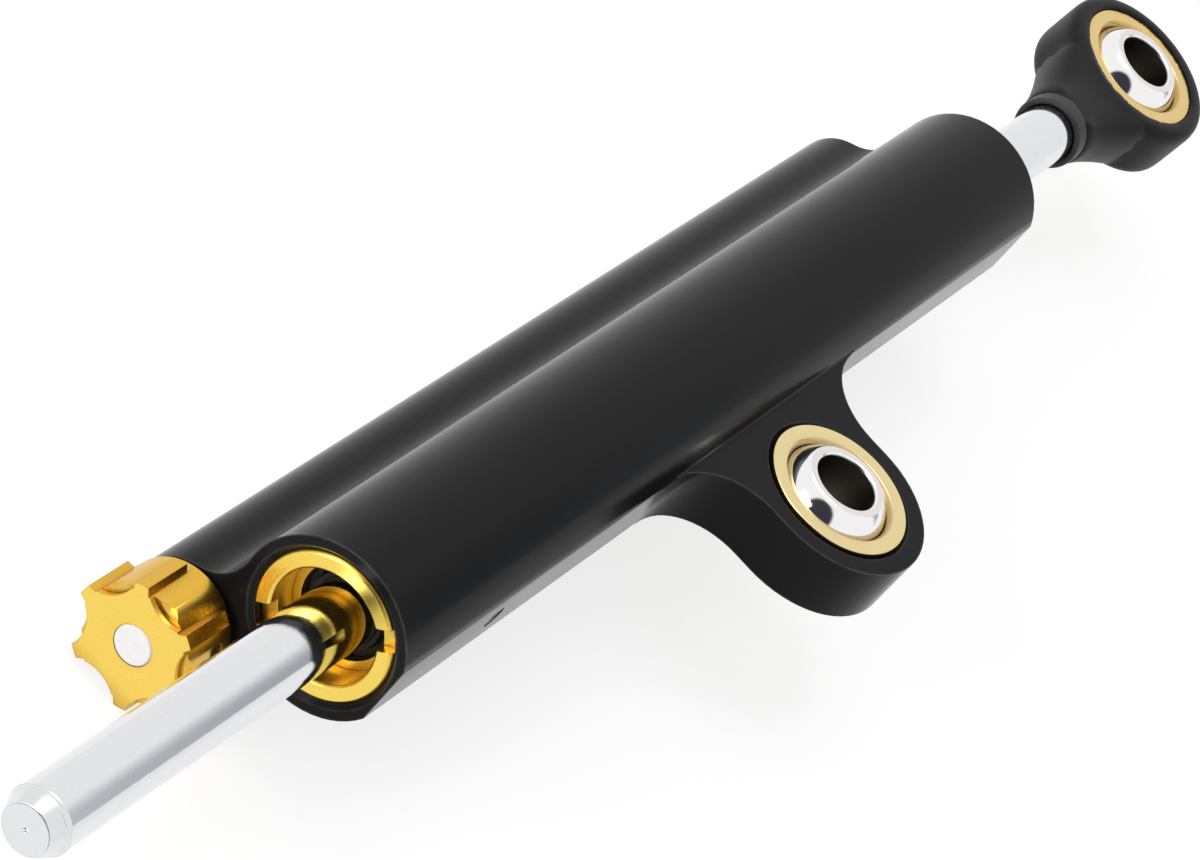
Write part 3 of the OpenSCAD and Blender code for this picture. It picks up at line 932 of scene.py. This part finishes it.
@dataclass
class EyeForging:
    """Body of the rod end, with its neck blended into the drum as a forging is."""

    name: str = "eye_forging"
    voxel: float = 0.3 * MM
    rounds: int = 200
    pace: float = 0.5
    bore: float = 9.54 * MM
    rim: float = 0.38 * MM
    bore_keep: float = 10.1 * MM
    stud_keep: float = 3.7 * MM
    drum: Span = (11.4 * MM, 15.0 * MM)
    neck: Span = (101.8 * MM, 104.5 * MM)

    def build(self, node: bpy.types.Object) -> bpy.types.Object:
        """Makes the piece from the shape of its CAD node.

        Args:
            node: The node that it stands for.

        Returns:
            The piece, which rides with the rod.
        """
        skin = self.even_mesh(node)
        self.soften(skin)
        piece = Bench.put(self.name, skin)
        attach(piece, "rod")
        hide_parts(node.name)
        LOG.info("made %s with %d faces", self.name, len(skin.polygons))
        return piece

    def even_mesh(self, node: bpy.types.Object) -> bpy.types.Mesh:
        """The node's surface as one closed mesh of even squares.

        Args:
            node: The CAD node.

        Returns:
            The mesh, painted and smooth.
        """
        blank = Bench.put("eye_blank", node.data.copy())
        Bench.weld(blank)
        even = blank.modifiers.new("even", "REMESH")
        even.mode = "VOXEL"
        even.voxel_size = self.voxel
        return Bench.settle(blank, Stock.FORGED_BLACK)

    def soften(self, skin: bpy.types.Mesh) -> None:
        """Raises inner corners into fillets, rounds the neck and trues the bore's rim.

        Args:
            skin: The mesh, which is changed in place.
        """
        count = len(skin.vertices)
        points = np.empty(3 * count)
        skin.vertices.foreach_get("co", points)
        points = points.reshape(count, 3)
        pairs = np.empty(2 * len(skin.edges), dtype=np.int64)
        skin.edges.foreach_get("vertices", pairs)
        ends, others = pairs[0::2], pairs[1::2]
        near, far = np.concatenate([ends, others]), np.concatenate([others, ends])
        share = np.bincount(near, minlength=count).clip(1)[:, None]
        bolt = self.distance(points, Line.EYE.value)
        free = (bolt > self.bore_keep) & (self.distance(points, Line.ROD.value) > self.stud_keep)
        neck = self.ramp(bolt, self.drum) * self.ramp(points[:, 0], self.neck)
        normals = np.empty(3 * count)
        for _ in range(self.rounds):
            skin.vertices.foreach_set("co", points.ravel())
            skin.update()
            skin.vertex_normals.foreach_get("vector", normals)
            out = normals.reshape(count, 3)
            sums = [np.bincount(near, points[far, i], count) for i in range(3)]
            pull = np.stack(sums, axis=1) / share - points
            rise = np.einsum("ij,ij->i", pull, out)
            step = self.pace * rise * np.where(rise > 0.0, 1.0, neck) * free
            points = points + step[:, None] * out
        skin.vertices.foreach_set("co", self.true_bore(points).ravel())
        skin.update()

    def true_bore(self, points: np.ndarray) -> np.ndarray:
        """The points, with those of the bore and its rim put on one cylinder.

        Args:
            points: All points of the mesh.

        Returns:
            Their new places.
        """
        axis = np.array(Line.EYE.value.direction)
        arms = points - np.array(Line.EYE.value.origin)
        flat = arms - (arms @ axis)[:, None] * axis
        radius = np.linalg.norm(flat, axis=1).clip(TINY)
        rim = radius < self.bore + self.rim
        shift = flat * (self.bore / radius - 1.0)[:, None]
        return points + np.where(rim[:, None], shift, 0.0)

    @staticmethod
    def distance(points: np.ndarray, axis: Axis) -> np.ndarray:
        """How far points lie from an axis."""
        arms = points - np.array(axis.origin)
        return np.linalg.norm(np.cross(arms, np.array(axis.direction)), axis=1)

    @staticmethod
    def ramp(values: np.ndarray, span: Span) -> np.ndarray:
        """Values mapped smoothly from a span onto 0 to 1."""
        share = ((values - span[0]) / (span[1] - span[0])).clip(0.0, 1.0)
        return share * share * (3.0 - 2.0 * share)


@dataclass
class RodBar:
    """The rod, with a short bevelled nose that has a shallow groove behind it.

    Each row of nose holds where a ring of the CAD node lies along the rod and its radius, and then
    where that ring goes and the radius it takes, in millimetres. What lies on no ring is the small
    centre hole.
    """

    name: str = "rod_bar"
    reach: float = 0.06 * MM
    margin: float = 0.1 * MM
    hole_shift: float = 2.1 * MM
    hole_share: float = 0.5
    nose: Sequence[Tuple[Span, Span]] = (
        ((-129.2, 4.0), (-131.0, 4.0)),
        ((-129.9, 3.5), (-131.25, 3.86)),
        ((-130.2, 3.25), (-131.4, 3.72)),
        ((-130.6, 3.25), (-131.55, 3.68)),
        ((-130.8, 3.55), (-131.7, 3.7)),
        ((-134.1, 3.55), (-133.25, 3.04)),
        ((-135.0, 3.15), (-133.36, 2.97)),
        ((-135.5, 2.25), (-133.4, 2.88)),
        ((-135.5, 0.6), (-133.4, 0.3)),
    )
    edge: EdgeBreak = EdgeBreak(0.03 * MM)

    def build(self, node: bpy.types.Object) -> bpy.types.Object:
        """Makes the piece from the shape of its CAD node.

        Args:
            node: The node that it stands for.

        Returns:
            The piece, which rides with the rod.
        """
        bar = node.data.copy()
        middle = Line.ROD.value.origin
        start = self.nose[0][0][0] * MM + self.margin
        moved = 0
        for vertex in bar.vertices:
            if vertex.co.x > start:
                continue
            arm = Vector((0.0, vertex.co.y - middle[1], vertex.co.z - middle[2]))
            x, radius = self.shaped(vertex.co.x, arm.length)
            out = arm.normalized() * radius
            vertex.co = (x, middle[1] + out.y, middle[2] + out.z)
            moved += 1
        bar.update()
        piece = Bench.put(self.name, bar)
        self.edge.cut(piece)
        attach(piece, "rod")
        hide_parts(node.name)
        LOG.info("made %s, %d points of its nose moved", self.name, moved)
        return piece

    def shaped(self, x: float, radius: float) -> Tuple[float, float]:
        """Where a point of the CAD node's nose goes.

        Args:
            x: Its place along the rod.
            radius: Its distance from the rod's axis.

        Returns:
            Its new place and distance.
        """
        for (old_x, old_radius), (new_x, new_radius) in self.nose:
            if math.hypot(x - old_x * MM, radius - old_radius * MM) < self.reach:
                return new_x * MM, new_radius * MM
        return x + self.hole_shift, self.hole_share * radius


@dataclass
class Rod:
    """Piston rod with its piston, stop and eye."""

    bar: RodBar = field(default_factory=RodBar)
    eye: EyeForging = field(default_factory=EyeForging)
    piston_edge: EdgeBreak = EdgeBreak(0.15 * MM)
    stop_edge: EdgeBreak = EdgeBreak(0.25 * MM, 3)

    def dress(self, dresser: Dresser) -> None:
        """Paints the pieces that slide with the rod.

        Args:
            dresser: What paints the frame's nodes.
        """
        dresser.dress("piston_rod", Stock.ROD_CHROME)
        self.bar.build(dresser.nodes["piston_rod"])
        dresser.dress("piston", Stock.PISTON_BRONZE, self.piston_edge)
        dresser.dress("piston_band", Stock.GUIDE_BAND)
        dresser.dress("piston_clips", Stock.BLACK_STEEL)
        dresser.dress("bump_stop", Stock.STOP_RUBBER, self.stop_edge)
        dresser.dress("rod_end_eye", Stock.FORGED_BLACK)
        self.eye.build(dresser.nodes["rod_end_eye"])


@dataclass
class KnobGrip:
    """The knob, with a ledge in each hollow of its front and ribs that end before its back."""

    name: str = "knob_grip"
    hollows: int = 6
    turn: float = math.radians(-25.0)
    hollow_at: float = 10.5 * MM
    hollow_radius: float = 4.6 * MM
    ledge_depth: float = 0.78 * MM
    core: float = 6.93 * MM
    over_ribs: float = 8.6 * MM
    rib_cut: Span = (-83.0 * MM, -81.6 * MM)
    facets: int = 128
    edge: EdgeBreak = EdgeBreak(0.08 * MM)

    def build(self, node: bpy.types.Object) -> bpy.types.Object:
        """Makes the piece from the shape of its CAD node.

        Args:
            node: The node that it stands for.

        Returns:
            The piece, which rides with the knob.
        """
        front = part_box(node.name)[0][0]
        blank = Bench.put("knob_blank", node.data.copy())
        Bench.weld(blank)
        cutters = [self.ledge_cutter(front), self.rib_cutter()]
        for cutter in cutters:
            cut = blank.modifiers.new("cut", "BOOLEAN")
            cut.operation = "DIFFERENCE"
            cut.solver = "EXACT"
            cut.object = cutter
        skin = Bench.settle(blank, Stock.GOLD_KNOB)
        for cutter in cutters:
            bpy.data.objects.remove(cutter)
        piece = Bench.put(self.name, skin)
        self.edge.cut(piece)
        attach(piece, "knob")
        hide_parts(node.name)
        LOG.info("made %s with %d faces", self.name, len(skin.polygons))
        return piece

    def ledge_cutter(self, front: float) -> bpy.types.Object:
        """Round cutters that sink a ledge into each hollow.

        Args:
            front: Where the knob's face lies along its axis.

        Returns:
            The cutters as one object.
        """
        mesh = bmesh.new()
        axis = Vector(Line.KNOB.value.origin)
        lie = Matrix.Rotation(math.radians(90.0), 4, "Y")
        for index in range(self.hollows):
            angle = self.turn + 2.0 * math.pi * index / self.hollows
            out = Vector((0.0, math.cos(angle), math.sin(angle))) * self.hollow_at
            bmesh.ops.create_cone(
                mesh,
                cap_ends=True,
                segments=self.facets,
                radius1=self.hollow_radius,
                radius2=self.hollow_radius,
                depth=2.0 * self.ledge_depth,
                matrix=Matrix.Translation(axis + out + Vector((front, 0.0, 0.0))) @ lie,
            )
        return Bench.shape("ledge_cutter", mesh)

    def rib_cutter(self) -> bpy.types.Object:
        """A ring that takes the ribs' ends off, down to the core.

        Returns:
            The ring as an object.
        """
        mesh = bmesh.new()
        axis = Vector(Line.KNOB.value.origin)
        near, far = self.rib_cut
        inner, outer = self.core, self.over_ribs
        section = ((near, inner), (near, outer), (far, outer), (far, inner))
        loops = []
        for index in range(self.facets):
            angle = 2.0 * math.pi * index / self.facets
            out = Vector((0.0, math.cos(angle), math.sin(angle)))
            corners = [axis + Vector((x, 0.0, 0.0)) + out * radius for x, radius in section]
            loops.append([mesh.verts.new(corner) for corner in corners])
        for index, loop in enumerate(loops):
            following = loops[(index + 1) % len(loops)]
            for side in range(len(section)):
                after = (side + 1) % len(section)
                mesh.faces.new((loop[side], loop[after], following[after], following[side]))
        bmesh.ops.recalc_face_normals(mesh, faces=mesh.faces)
        return Bench.shape("rib_cutter", mesh)


@dataclass
class Adjuster:
    """Knob, spindle, bush and needle valve."""

    grip: KnobGrip = field(default_factory=KnobGrip)

    def dress(self, dresser: Dresser) -> None:
        """Paints the pieces of the adjuster.

        Args:
            dresser: What paints the frame's nodes.
        """
        dresser.dress("adjuster_knob", Stock.GOLD_KNOB)
        self.grip.build(dresser.nodes["adjuster_knob"])
        dresser.dress("knob_cap", Stock.PALE)
        dresser.dress("knob_grub_screw", Stock.BLACK_STEEL)
        dresser.dress("adjuster_spindle", Stock.STEEL)
        dresser.dress("adjuster_bush", Stock.BLACK)
        dresser.dress("bush_oring", Stock.RUBBER)
        dresser.dress("spindle_oring", Stock.RUBBER)
        dresser.dress("detent_ball", Stock.BEAD_STEEL)
        dresser.dress("detent_spring", Stock.STEEL)
        dresser.dress("valve_needle", Stock.STEEL)
        dresser.dress("valve_seat", Stock.SEAT_BRASS)


@dataclass
class Reservoir:
    """Floating piston, spring and plug behind the adjuster tube."""

    coil_name: str = "reservoir_coil"
    wire: float = 0.9 * MM
    plug_edge: EdgeBreak = EdgeBreak(0.12 * MM)

    def dress(self, dresser: Dresser) -> None:
        """Paints the pieces of the reservoir and copies the spring into a piece of its own.

        Args:
            dresser: What paints the frame's nodes.
        """
        dresser.dress("floating_piston", Stock.BARE_ALLOY)
        dresser.dress("floating_seal", Stock.RUBBER)
        dresser.dress("reservoir_spring", Stock.STEEL)
        dresser.dress("reservoir_plug", Stock.BLACK, self.plug_edge)
        dresser.dress("plug_oring", Stock.RUBBER)
        dresser.dress("plug_clip", Stock.BLACK_STEEL)
        self.wind_coil(dresser.nodes["reservoir_spring"])

    def wind_coil(self, node: bpy.types.Object) -> bpy.types.Object:
        """Makes the spring as a piece of its own, a copy of its node's mesh in place.

        Args:
            node: The node that it stands for.

        Returns:
            The piece.
        """
        coil = Bench.put(self.coil_name, node.data.copy())
        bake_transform(coil)
        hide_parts(node.name)
        LOG.info("made %s with %d faces", self.coil_name, len(coil.data.polygons))
        return coil


@dataclass(frozen=True)
class Lamp:
    """A soft box."""

    name: str
    place: Point
    target: Point
    size: Span
    power: float

    def hang(self) -> None:
        """Puts the lamp in the scene, out of the camera's sight."""
        data = bpy.data.lights.new(self.name, "AREA")
        data.shape = "RECTANGLE"
        data.size, data.size_y = self.size
        data.energy = self.power
        lamp = Bench.put(self.name, data)
        lamp.location = self.place
        aim = Vector(self.target) - Vector(self.place)
        lamp.rotation_euler = aim.to_track_quat("-Z", "Y").to_euler()
        lamp.visible_camera = False


@dataclass
class Studio:
    """Pale floor, soft light and the camera."""

    floor_half: float = 4.0
    floor_cells: int = 8
    floor_gap: float = 0.05 * MM
    floor_lit: Colour = (0.8, 0.8, 0.8)
    floor_shown: Colour = (0.3, 0.3, 0.3)
    floor_glow: float = 0.78
    room_light: float = 0.5
    room_shown: float = 1.0
    screen_tone: Colour = (0.4, 0.43, 0.47)
    screen_near: Span = (0.6, 0.77)
    screen_far: Span = (0.79, 0.86)
    screen_aside: Span = (0.12, 0.62)
    screen_above: Span = (0.08, 0.14)
    door_tone: Colour = (0.04, 0.04, 0.05)
    door_way: Point = (-0.868, -0.1, 0.486)
    door_span: Span = (0.86, 0.91)
    eye: Point = (-0.470088, -0.042257, 0.335924)
    right: Point = (0.500893, -0.677574, 0.538517)
    down: Point = (-0.340791, -0.726335, -0.596908)
    ahead: Point = (0.795593, 0.115465, -0.594727)
    lens: float = 146.488
    sensor: float = 36.0
    clip: Span = (0.01, 50.0)
    lamps: Sequence[Lamp] = (
        Lamp("top_box", (0.1, 0.25, 0.9), (0.0, 0.02, 0.0), (0.7, 0.5), 2.6),
        Lamp("front_box", (-0.75, 0.45, 0.3), (-0.08, 0.02, 0.0), (0.5, 0.5), 4.0),
    )

    def build(self, low: float) -> None:
        """Sets up the stage.

        Args:
            low: Height of the object's lowest point.
        """
        self.lay_floor(low - self.floor_gap)
        self.light_world()
        for lamp in self.lamps:
            lamp.hang()
        self.set_camera()

    @staticmethod
    def ray(g: Graph, kind: str) -> Signal:
        """1 for rays of one kind, such as Is Glossy Ray, and 0 for others."""
        return g.node("ShaderNodeLightPath", output=kind)

    def seen(self, g: Graph) -> Signal:
        """1 for rays from the camera or from a mirror or glass, 0 for light on its way."""
        shown = self.ray(g, "Is Camera Ray").at_least(self.ray(g, "Is Glossy Ray"))
        return shown.at_least(self.ray(g, "Is Transmission Ray"))

    def lay_floor(self, height: float) -> None:
        """Lays a pale floor that keeps the object's shadow.

        Args:
            height: Where it lies.
        """
        mesh = bmesh.new()
        cells = self.floor_cells
        bmesh.ops.create_grid(mesh, x_segments=cells, y_segments=cells, size=self.floor_half)
        bmesh.ops.translate(mesh, vec=(0.0, 0.0, height), verts=mesh.verts)
        floor = Bench.shape("floor", mesh)
        pale = bpy.data.materials.new("pale_floor")
        pale.use_nodes = True
        g = Graph(pale.node_tree)
        lit = g.node("ShaderNodeBsdfDiffuse", None, {"Color": rgba(self.floor_lit)})
        thin = g.node("ShaderNodeBsdfDiffuse", None, {"Color": rgba(self.floor_shown)})
        light = {"Color": rgba(WHITE), "Strength": self.floor_glow}
        glow = g.node("ShaderNodeEmission", None, light)
        shown = g.node("ShaderNodeAddShader", None, {0: thin, 1: glow})
        both = g.node("ShaderNodeMixShader", None, {0: self.seen(g), 1: lit, 2: shown})
        g.node("ShaderNodeOutputMaterial", None, {"Surface": both})
        floor.data.materials.append(pale)
        floor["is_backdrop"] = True

    def light_world(self) -> None:
        """A soft white room, with a grey screen and a dark doorway that only mirrors see."""
        world = bpy.data.worlds.new("studio")
        bpy.context.scene.world = world
        world.use_nodes = True
        g = Graph(world.node_tree)
        way = g.node("ShaderNodeTexCoord", output="Generated")
        ahead = g.vector("DOT_PRODUCT", way, (1.0, 0.0, 0.0), "Value")
        aside = g.vector("DOT_PRODUCT", way, (0.0, -1.0, 0.0), "Value")
        above = g.vector("DOT_PRODUCT", way, (0.0, 0.0, 1.0), "Value")
        toward = g.vector("DOT_PRODUCT", way, self.door_way, "Value")
        screen = ahead.between(*self.screen_near) * (1.0 - ahead.between(*self.screen_far))
        screen = screen * aside.between(*self.screen_aside) * above.between(*self.screen_above)
        tone = g.mix(screen, rgba(WHITE), rgba(self.screen_tone))
        tone = g.mix(toward.between(*self.door_span), tone, rgba(self.door_tone))
        shown = g.mix(self.ray(g, "Is Glossy Ray"), rgba(WHITE), tone)
        fill = {"Color": rgba(WHITE), "Strength": self.room_light}
        soft = g.node("ShaderNodeBackground", None, fill)
        white = g.node("ShaderNodeBackground", None, {"Color": shown, "Strength": self.room_shown})
        both = g.node("ShaderNodeMixShader", None, {0: self.seen(g), 1: soft, 2: white})
        g.node("ShaderNodeOutputWorld", None, {"Surface": both})

    def set_camera(self) -> None:
        """Puts the camera where the photograph was taken from."""
        data = bpy.data.cameras.new("camera")
        data.sensor_width = self.sensor
        data.lens = self.lens
        data.clip_start, data.clip_end = self.clip
        camera = Bench.put("camera", data)
        up, back = -Vector(self.down), -Vector(self.ahead)
        turn = Matrix((Vector(self.right), up, back)).transposed()
        camera.matrix_world = Matrix.Translation(self.eye) @ turn.to_4x4()
        bpy.context.scene.camera = camera


def main() -> None:
    """Builds the scene."""
    logging.basicConfig(level=logging.INFO, format="%(name)s: %(message)s")
    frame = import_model()
    cad_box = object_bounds()
    bpy.context.scene.view_settings.view_transform = "Standard"
    dresser = Dresser(frame["nodes"])
    for part in (
        Body(),
        CylinderEnd("front"),
        CylinderEnd("rear"),
        Bearing("lug", Stock.LUG_BRASS, Stock.LUG_STEEL),
        Bearing("eye", Stock.EYE_BRASS, Stock.EYE_STEEL),
        Rod(),
        Adjuster(),
        Reservoir(),
    ):
        part.dress(dresser)
    LOG.info("nodes without a finish: %s", dresser.left() or "none")
    Studio().build(cad_box[0][2])


if __name__ == "__main__":
    main()
